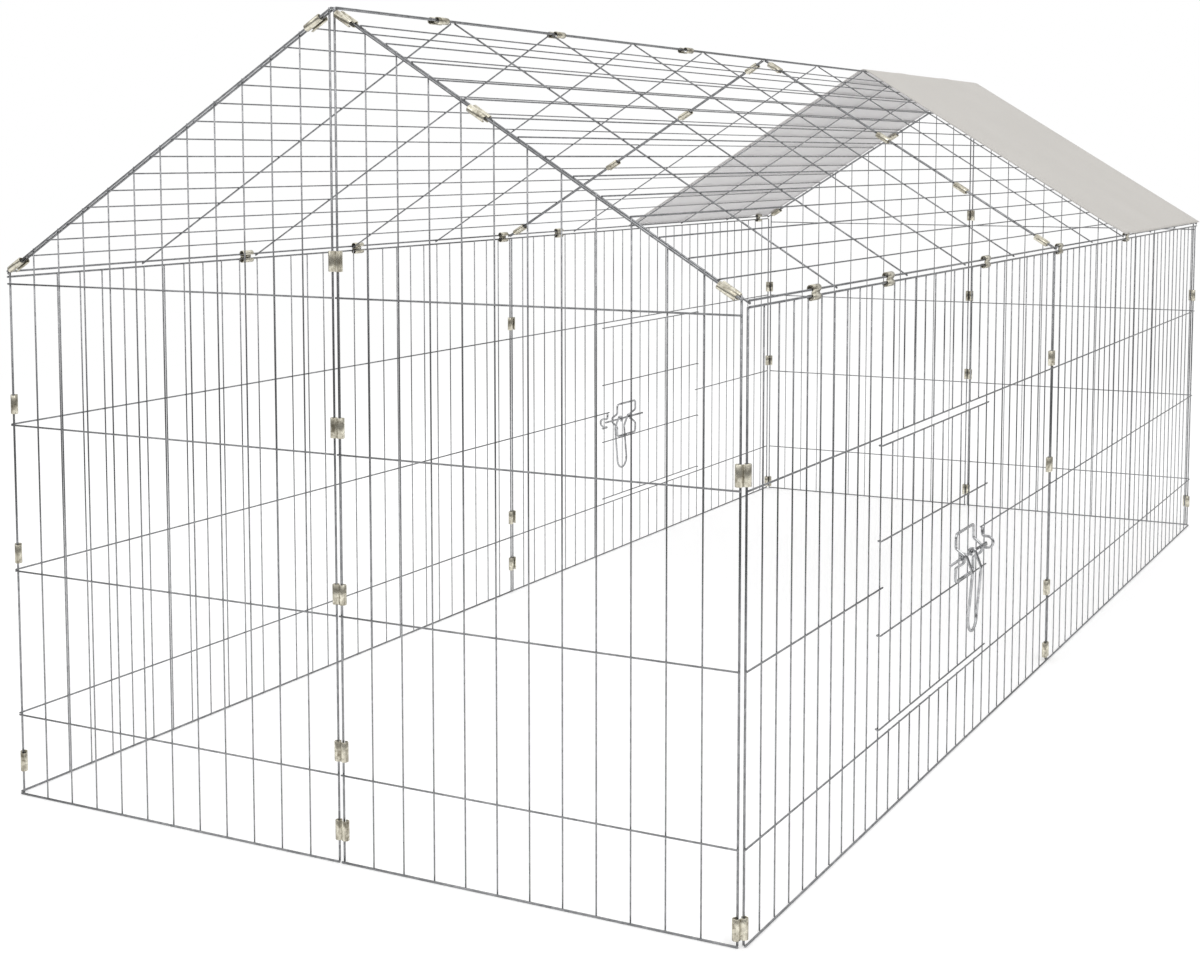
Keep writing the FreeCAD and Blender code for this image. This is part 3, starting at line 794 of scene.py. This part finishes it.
@dataclass
class ClipRow(Piece):
    """A row of rolled clips, each with a lobe round one of a pair of edge wires."""

    slot: Slot = Slot.CLIP
    body: str = "enclosure"
    lobe_offset: float = 0.003304
    lobe_radius: float = 0.00275
    sheet: float = 0.0009
    curl: float = math.radians(115.0)
    mouth: float = math.radians(140.0)
    lobe_steps: int = 18
    web_steps: int = 6
    web_pull: float = 0.0009
    rim: float = 0.0003
    rim_share: float = 0.55
    tip_share: float = 0.6

    def middle_line(self) -> Point:
        """Lays out the rolled strip as it is seen end on.

        Returns:
            Points on its middle line: across the pair, and out from it.
        """
        turns = np.linspace(self.mouth, -self.curl, self.lobe_steps)
        lobe = self.lobe_radius * np.stack([np.cos(turns), np.sin(turns)], 1)
        lobe[:, 0] += self.lobe_offset
        mirrored = lobe[::-1] * np.array([-1.0, 1.0])
        start, end = mirrored[-1], lobe[0]
        pull = self.web_pull * np.array([math.sin(self.mouth), -math.cos(self.mouth)])
        share = np.linspace(0.0, 1.0, self.web_steps + 1)[1:-1, None]
        handles = start + pull * np.array([1.0, -1.0]), end - pull
        web = ((1 - share) ** 3 * start + 3 * (1 - share) ** 2 * share * handles[0]
               + 3 * (1 - share) * share ** 2 * handles[1] + share ** 3 * end)
        return np.vstack([mirrored, web, lobe])

    def section(self, share: float) -> Point:
        """Lays out the edge of the rolled strip as it is seen end on.

        Args:
            share: share of the sheet's thickness.

        Returns:
            Points on the outline, anticlockwise.
        """
        line = self.middle_line()
        ways = np.gradient(line, axis=0)
        ways /= np.linalg.norm(ways, axis=1)[:, None]
        normals = np.stack([-ways[:, 1], ways[:, 0]], 1)
        half = self.sheet / 2 * share
        nose = half * self.tip_share
        tip, tail = line[-1] + ways[-1] * nose, line[0] - ways[0] * nose
        return np.vstack([line - normals * half, [tip], (line + normals * half)[::-1], [tail]])

    def build(self) -> None:
        """Draws every clip of the row and puts them in place of their node."""
        draft = MeshDraft()
        used = 0.0
        for corners in solids_of(self.node):
            mean = corners.mean(axis=0)
            axis, pair, out = np.linalg.svd(corners - mean)[2]
            if out @ (halfway(corners) - MIDDLE_OF_RUN) < 0:
                out = -out
            pair = np.cross(out, axis)
            places = (corners - mean) @ np.stack([axis, pair, out], 1)
            rise = halfway(places)[2] - halfway(self.middle_line())[1]
            length = float(np.ptp(places[:, 0]))
            self.draw_clip(draft, mean + out * rise, (axis, pair, out), length / 2, used)
            used += length
        self.place(draft, [KHAKI])

    def draw_clip(self, draft: MeshDraft, middle: Point, ways: Sequence[Point], half: float,
                  used: float) -> None:
        """Draws one clip, its finish running on from the clip before as if cut from one strip.

        Args:
            draft: the mesh to draw in.
            middle: point halfway between the lobes' axes and the clip's ends.
            ways: directions of the wires, from one wire to the other, and that the closed side faces.
            half: half of the clip's length.
            used: length of the strip in the clips before.
        """
        axis, pair, out = ways
        rings, lengths = [], []
        inner = half - self.rim
        for place, share in ((-half, self.rim_share), (-inner, 1.0), (inner, 1.0), (half, self.rim_share)):
            outline = self.section(share)
            rings.append(middle + axis * place + outline[:, :1] * pair + outline[:, 1:] * out)
            lengths.append(used + half + place)
        draft.loft(rings, lengths, 4 * math.pi * self.lobe_radius)


@dataclass
class SlideLatch:
    """A slide latch: bracket, bolt, pull loop and strike, all of bent or straight round wire."""

    hand: Hand
    door_width: float = 0.33
    wire_radius: float = 0.0015
    sides: int = 18
    wall_face: float = 0.00065
    bracket_corner: float = 0.004
    guide_half: float = 0.0035
    guide_foot: float = 0.010
    eye_radius: float = 0.0033
    pull_width: float = 0.030
    pull_length: float = 0.077
    shoulder_drop: float = 0.015
    shoulder_bulge: float = 0.006
    shoulder_bend: float = 0.012
    toe_in: float = 0.004
    strike_back: float = 0.015
    strike_half: float = 0.006
    strike_overhang: float = 0.0015
    seam: float = 0.0003
    eye_steps: int = 20
    bow_steps: int = 18
    strike_steps: int = 14
    origin: Point = field(init=False)

    def __post_init__(self) -> None:
        """Finds the foot of the latch upright."""
        self.origin = self.hand.hinge * LEVEL + self.hand.along * self.door_width

    def at(self, along: float, up: float, out: float) -> Point:
        """Point at these distances from the foot of the latch upright."""
        return self.origin + self.hand.along * along + SKY * up + self.hand.out * out

    def reach(self, part: str) -> tuple[Point, Point]:
        """Measures a packed latch part.

        Args:
            part: the part's word in its node's name.

        Returns:
            Its least and its greatest distances along, up and out.
        """
        box = np.array([list(corner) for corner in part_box(self.hand.value + "_latch_" + part)])
        ways = np.stack([self.hand.along, SKY, self.hand.out], 1)
        ends = (box - self.origin) @ ways
        return ends.min(axis=0), ends.max(axis=0)

    @property
    def bolt_axis(self) -> Point:
        """Height and distance out of the bolt's axis."""
        low, high = self.reach("bolt")
        return ((low + high) / 2)[1:]

    def build(self) -> None:
        """Draws the four parts and puts each in place of its node."""
        hand = self.hand.value
        routes = {"bracket": (self.bracket(), hand + "_door_leaf"), "bolt": (self.bolt(), hand + "_bolt"),
                  "handle": (self.pull(), hand + "_pull"), "strike": (self.strike(), "enclosure")}
        for part, (route, body) in routes.items():
            draft = MeshDraft()
            draft.tube(route, self.wire_radius, self.sides)
            Piece(f"{hand}_latch_{part}", body, Slot.LATCH).place(draft, [BRIGHT])

    def bracket(self) -> list[Point]:
        """Bends the loop on the door, its two sides arched out round the bolt.

        Returns:
            Points on its axis.
        """
        low, high = self.reach("bracket")
        left, right = low[0] + self.wire_radius, high[0] - self.wire_radius
        foot, head = low[1] + self.wire_radius, high[1] - self.wire_radius
        inner, outer = low[2] + self.wire_radius, high[2] - self.wire_radius
        bolt = self.bolt_axis[0]
        middle = (left + right) / 2
        guide = [(bolt - self.guide_foot, inner), (bolt - self.guide_half, outer),
                 (bolt + self.guide_half, outer), (bolt + self.guide_foot, inner)]
        side = [(foot, inner), *guide, (head, inner)]
        up = [self.at(left, *point) for point in side]
        down = [self.at(right, *point) for point in reversed(side)]
        start, end = self.at(middle - self.seam, foot, inner), self.at(middle + self.seam, foot, inner)
        return bend([start, *up, *down, end], self.bracket_corner)

    def bolt(self) -> list[Point]:
        """Lays out the straight bolt.

        Returns:
            Points on its axis.
        """
        low, high = self.reach("bolt")
        height, out = self.bolt_axis
        return [self.at(low[0], height, out), self.at(high[0], height, out)]

    def pull(self) -> list[Point]:
        """Bends the pull loop, its ends curled round the bolt.

        Returns:
            Points on its axis.
        """
        left = self.reach("handle")[0][0] + self.wire_radius
        right = left + self.pull_width
        height, out = self.bolt_axis
        crest = out + self.eye_radius + self.shoulder_bulge
        half = self.pull_width / 2
        toe = (height - self.pull_length + half, crest - self.toe_in)
        turns = np.linspace(-math.pi / 2, -2 * math.pi, self.eye_steps)
        legs = []
        for along in (left, right):
            centre = self.at(along, height, out)
            eye = arc(centre, self.hand.out * self.eye_radius, SKY * self.eye_radius, turns)
            shoulder = self.at(along, height - self.shoulder_drop, crest)
            legs.append(eye[:-1] + bend([eye[-1], shoulder, self.at(along, *toe)], self.shoulder_bend))
        turns = np.linspace(math.pi, 2 * math.pi, self.bow_steps)[1:-1]
        bow = arc(self.at(left + half, *toe), self.hand.along * half, SKY * half, turns)
        return legs[0] + bow + legs[1][::-1]

    def strike(self) -> list[Point]:
        """Bends the staple, from the cut rail out round the bolt and back to the latch upright.

        Returns:
            Points on its axis.
        """
        top = self.reach("strike")[1][1]
        root = self.wall_face + self.wire_radius
        height, out = self.bolt_axis
        near = -self.strike_back
        half = self.strike_half
        turns = np.linspace(math.pi / 2, -math.pi / 2, self.strike_steps)
        bow = arc(self.at(near, height, out), self.hand.out * half, SKY * half, turns)
        entry = [self.at(near, top, root), self.at(near, height + half, root), bow[0]]
        leave = [bow[-1], self.at(near, height - half, root),
                 self.at(self.strike_overhang, height - half, root)]
        return bend(entry, half / 2) + bow[1:-1] + bend(leave, half / 2)


@dataclass
class SunShade:
    """The cloth over the rear end of the roof, laid taut on the wires of both slopes, with a hem."""

    node: str = "sun_shade"
    cell: float = 0.005
    thickness: float = 0.0006
    ridge_bend: float = 0.009
    ridge_steps: int = 8
    settle: float = 0.0029
    hem_width: float = 0.013
    hem_drop: float = 0.0007
    spare: float = 0.0006
    clip_reach: float = 0.010
    clip_fade: float = 0.028
    roofs: tuple[str, ...] = ("right_roof_rear_panel", "left_roof_rear_panel")
    bearers: tuple[str, ...] = ("ridge_clips", "right_eave_clips", "left_eave_clips",
                                "rear_right_verge_clips", "rear_left_verge_clips")

    def profile(self) -> Point:
        """Lays out the cloth across the roof.

        Returns:
            Points from the right eave over the ridge to the left eave.
        """
        corners = solids_of(self.node)[0]
        section = corners[corners[:, 0] < corners[:, 0].min() + TOUCH][:, 1:]
        right = section[section[:, 0] < -TOUCH].mean(axis=0)
        apex = section[np.abs(section[:, 0]) < TOUCH].mean(axis=0)
        slope = unit(apex - right)
        drop = np.array([slope[1], -slope[0]]) * self.settle
        right = right + drop
        apex = np.array([0.0, right[1] - right[0] * slope[1] / slope[0]])
        left = right * np.array([-1.0, 1.0])
        flat = [np.array([0.0, *point]) for point in (right, apex, left)]
        return np.array(bend(flat, self.ridge_bend, self.ridge_steps))[:, 1:]

    def grid(self, drop: float, inset: tuple[float, float]) -> tuple[Point, Point]:
        """Lays out an even grid of places on the cloth.

        Args:
            drop: how far the grid lies below the cloth's middle.
            inset: distances from the front edge of the grid's first and last rows.

        Returns:
            The points, by row and column, and their flat places.
        """
        line = self.profile()
        steps = np.linalg.norm(np.diff(line, axis=0), axis=1)
        lengths = np.concatenate([[0.0], np.cumsum(steps)])
        count = int(round(lengths[-1] / self.cell))
        across = np.linspace(0.0, lengths[-1], count + 1)
        y, z = np.interp(across, lengths, line[:, 0]), np.interp(across, lengths, line[:, 1])
        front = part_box(self.node)[0].x
        rows = max(2, int(round((inset[1] - inset[0]) / self.cell)) + 1)
        along = np.linspace(front + inset[0], front + inset[1], rows)
        points = np.stack(np.broadcast_arrays(along[:, None], y, z), -1)
        ways = np.stack([np.zeros_like(y), np.gradient(y), np.gradient(z)], 1)
        outs = np.cross(np.array([1.0, 0.0, 0.0]), ways / np.linalg.norm(ways, axis=1)[:, None])
        points += outs * (self.lift(points, outs) - drop)[..., None]
        flat = np.stack(np.broadcast_arrays(along[:, None], across), -1)
        return points, flat

    def lift(self, points: Point, outs: Point) -> Point:
        """Finds how far the clips under the cloth hold it up.

        Args:
            points: places on the cloth as it would lie without clips, by row and column.
            outs: direction out of the cloth in each column.

        Returns:
            The rise at each place.
        """
        rise = np.zeros(points.shape[:2])
        for corners in (solid for node in self.bearers for solid in solids_of(node)):
            away = np.linalg.norm(points - halfway(corners), axis=2)
            row, column = np.unravel_index(int(np.argmin(away)), away.shape)
            if away[row, column] > self.clip_fade:
                continue
            need = float(((corners - points[row, column]) @ outs[column]).max()) + self.spare
            share = np.clip(1.0 - (away - self.clip_reach) / self.clip_fade, 0.0, 1.0)
            rise = np.maximum(rise, max(need, 0.0) * eased(share))
        return rise

    def draw(self, points: Point, flat: Point) -> MeshDraft:
        """Draws a grid of points as a sheet.

        Args:
            points: the points, by row and column.
            flat: their flat places.

        Returns:
            The sheet's mesh.
        """
        draft = MeshDraft()
        rows, columns = points.shape[:2]
        draft.corners = list(points.reshape(-1, 3))
        for i in range(rows - 1):
            for j in range(columns - 1):
                cell = [(i, j), (i + 1, j), (i + 1, j + 1), (i, j + 1)]
                draft.face([r * columns + c for r, c in cell], [tuple(flat[r, c]) for r, c in cell], 0)
        return draft

    def build(self) -> None:
        """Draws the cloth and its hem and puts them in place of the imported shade."""
        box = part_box(self.node)
        width = box[1].x - box[0].x
        points, flat = self.grid(0.0, (0.0, width))
        cloth = self.draw(points, flat).piece("sun_shade_cloth", [material_of(SHADE), material_of(UNDERSIDE_PAINTED_LIGHT)])
        hem_points, hem_flat = self.grid(self.hem_drop, (0.0, self.hem_width))
        hem = self.draw(hem_points, hem_flat).piece("sun_shade_hem", [material_of(HEM)])
        for made in (cloth, hem):
            thick = made.modifiers.new("thickness", "SOLIDIFY")
            thick.thickness = self.thickness
            thick.offset = 0.0
            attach(made, "enclosure")
        # The back faces take the paler underside, with its painted light through the cloth
        cloth.modifiers["thickness"].material_offset = 1
        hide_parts(self.node)


@dataclass(frozen=True)
class Lamp:
    """A soft square lamp that points at the run."""

    name: str
    place: Place
    size: float
    watts: float

    def build(self) -> None:
        """Puts the lamp in the scene."""
        data = bpy.data.lights.new(self.name, "AREA")
        data.shape = "SQUARE"
        data.size = self.size
        data.energy = self.watts
        lamp = new_object(self.name, data)
        lamp.location = self.place
        beam = Vector(MIDDLE_OF_RUN) - Vector(self.place)
        lamp.rotation_euler = beam.to_track_quat("-Z", "Y").to_euler()


@dataclass
class Studio:
    """Pale floor, surroundings that look white, soft lamps and the camera of the photograph."""

    eye: Place = (-2.1463, -0.8970, 0.5935)
    yaw: float = math.radians(27.77)
    tilt: float = math.radians(5.0)
    lens_pixels: float = 1849.0
    image_width: float = 1200.0
    image_height: float = 958.0
    axis_pixel: tuple[float, float] = (598.0, 318.5)
    sensor: float = 36.0
    floor_half: float = 12.0
    floor_colour: Colour = (0.90, 0.90, 0.90)
    floor_roughness: float = 0.9
    floor_lift: float = 0.25
    fade_from: float = 1.4
    fade_to: float = 3.2
    ambient: float = 0.8
    room_glow: float = 0.12
    ceiling_from: float = 0.10
    ceiling_to: float = 0.45
    sweep_from: float = 0.25
    sweep_to: float = 0.75
    lamps: tuple[Lamp, ...] = (
        Lamp("key", (-2.6, -2.8, 3.4), 2.4, 36.0),
        Lamp("fill", (-3.0, 2.6, 2.4), 2.4, 12.0),
        Lamp("back", (2.8, 1.5, 3.2), 2.4, 16.0),
    )

    def build(self) -> None:
        """Sets up the whole stage."""
        self.build_floor()
        self.build_world()
        self.build_camera()
        for lamp in self.lamps:
            lamp.build()
        bpy.context.scene.view_settings.view_transform = "Standard"

    @staticmethod
    def seen_directly(desk: NodeDesk) -> NodeSocket:
        """Tells rays that show a surface from those that only light it.

        Args:
            desk: the desk of the tree that asks.

        Returns:
            One for rays from the camera, mirrors and glass, and nought for the rest.
        """
        path = desk.add("LightPath")
        straight = desk.math("MAXIMUM", path.outputs["Is Camera Ray"], path.outputs["Is Glossy Ray"])
        return desk.math("MAXIMUM", straight, path.outputs["Is Transmission Ray"])

    def build_floor(self) -> None:
        """Makes the floor, which shows white and keeps the run's shadow."""
        half = self.floor_half
        mesh = bpy.data.meshes.new("floor")
        corners = [(-half, -half, 0), (half, -half, 0), (half, half, 0), (-half, half, 0)]
        mesh.from_pydata(corners, [], [(0, 1, 2, 3)])
        material, desk, surface = new_material("pale_floor")
        surface.inputs["Base Color"].default_value = (*self.floor_colour, 1.0)
        surface.inputs["Roughness"].default_value = self.floor_roughness
        surface.inputs["Emission Color"].default_value = (1.0, 1.0, 1.0, 1.0)
        seen = self.seen_directly(desk)
        desk.feed(surface.inputs["Emission Strength"], desk.math("MULTIPLY", seen, self.floor_lift))
        place = desk.add("TexCoord").outputs["Object"]
        away = desk.add("VectorMath", {"operation": "LENGTH"}, Vector=place).outputs["Value"]
        fade = desk.ramp(away, self.fade_from, self.fade_to)
        white = desk.add("Emission", Strength=self.far_glow(desk, place))
        mix = desk.add("MixShader", Fac=desk.math("MULTIPLY", fade, seen))
        desk.feed(mix.inputs[1], surface.outputs[0])
        desk.feed(mix.inputs[2], white.outputs[0])
        desk.feed(material.node_tree.nodes["Material Output"].inputs["Surface"], mix.outputs[0])
        mesh.materials.append(material)
        floor = new_object("floor", mesh)

    def build_world(self) -> None:
        """Makes the surroundings white to the eye, a lit room to metal and softer where they only light."""
        world = bpy.data.worlds.new("white_room")
        world.use_nodes = True
        desk = NodeDesk(world.node_tree)
        background = world.node_tree.nodes["Background"]
        background.inputs["Color"].default_value = (1.0, 1.0, 1.0, 1.0)
        way = desk.add("TexCoord").outputs["Generated"]
        level = desk.spread(self.seen_directly(desk), self.ambient, self.far_glow(desk, way))
        desk.feed(background.inputs["Strength"], level)
        bpy.context.scene.world = world

    def far_glow(self, desk: NodeDesk, way: NodeSocket) -> NodeSocket:
        """Finds how bright the surroundings are in a direction.

        They are white to the eye. Metal mirrors them as a lit ceiling and a white sweep in a dim room.

        Args:
            desk: the desk of the tree that asks.
            way: direction from the middle of the floor.

        Returns:
            The brightness.
        """
        heading = desk.add("VectorMath", {"operation": "NORMALIZE"}, Vector=way).outputs[0]
        height = desk.add("SeparateXYZ", Vector=heading).outputs["Z"]
        ceiling = desk.ramp(height, self.ceiling_from, self.ceiling_to)
        facing = desk.add("VectorMath", {"operation": "DOT_PRODUCT"}, Vector=heading)
        facing.inputs[1].default_value = (math.cos(self.yaw), math.sin(self.yaw), 0.0)
        sweep = desk.ramp(facing.outputs["Value"], self.sweep_from, self.sweep_to)
        lit = desk.spread(desk.math("MAXIMUM", ceiling, sweep), self.room_glow, 1.0)
        mirrored = desk.add("LightPath").outputs["Is Glossy Ray"]
        return desk.spread(mirrored, 1.0, lit)

    def build_camera(self) -> None:
        """Makes the camera at the photograph's place, with its view shifted as there."""
        data = bpy.data.cameras.new("camera")
        data.sensor_width = self.sensor
        data.sensor_fit = "HORIZONTAL"
        data.lens = self.sensor * self.lens_pixels / self.image_width
        data.shift_x = (self.image_width / 2 - self.axis_pixel[0]) / self.image_width
        data.shift_y = (self.axis_pixel[1] - self.image_height / 2) / self.image_width
        level = math.cos(self.tilt)
        ahead = Vector((math.cos(self.yaw) * level, math.sin(self.yaw) * level, -math.sin(self.tilt)))
        right = Vector((math.sin(self.yaw), -math.cos(self.yaw), 0.0))
        turn = Matrix((right, right.cross(ahead), -ahead)).transposed()
        camera = new_object("camera", data)
        camera.matrix_world = Matrix.Translation(self.eye) @ turn.to_4x4()
        bpy.context.scene.camera = camera


def main() -> None:
    """Builds the run's pieces in order, then the stage."""
    logging.basicConfig(level=logging.INFO, format="%(message)s")
    for node in sorted(frame["nodes"]):
        if node.endswith("_panel"):
            WeldedPanel(node, "enclosure").build()
        elif node.endswith("_clips"):
            ClipRow(node).build()
    for hand in Hand:
        Door(hand.value + "_door", hand.value + "_door_leaf", hand=hand).build()
        SlideLatch(hand).build()
    SunShade().build()
    Studio().build()


if __name__ == "__main__":
    main()
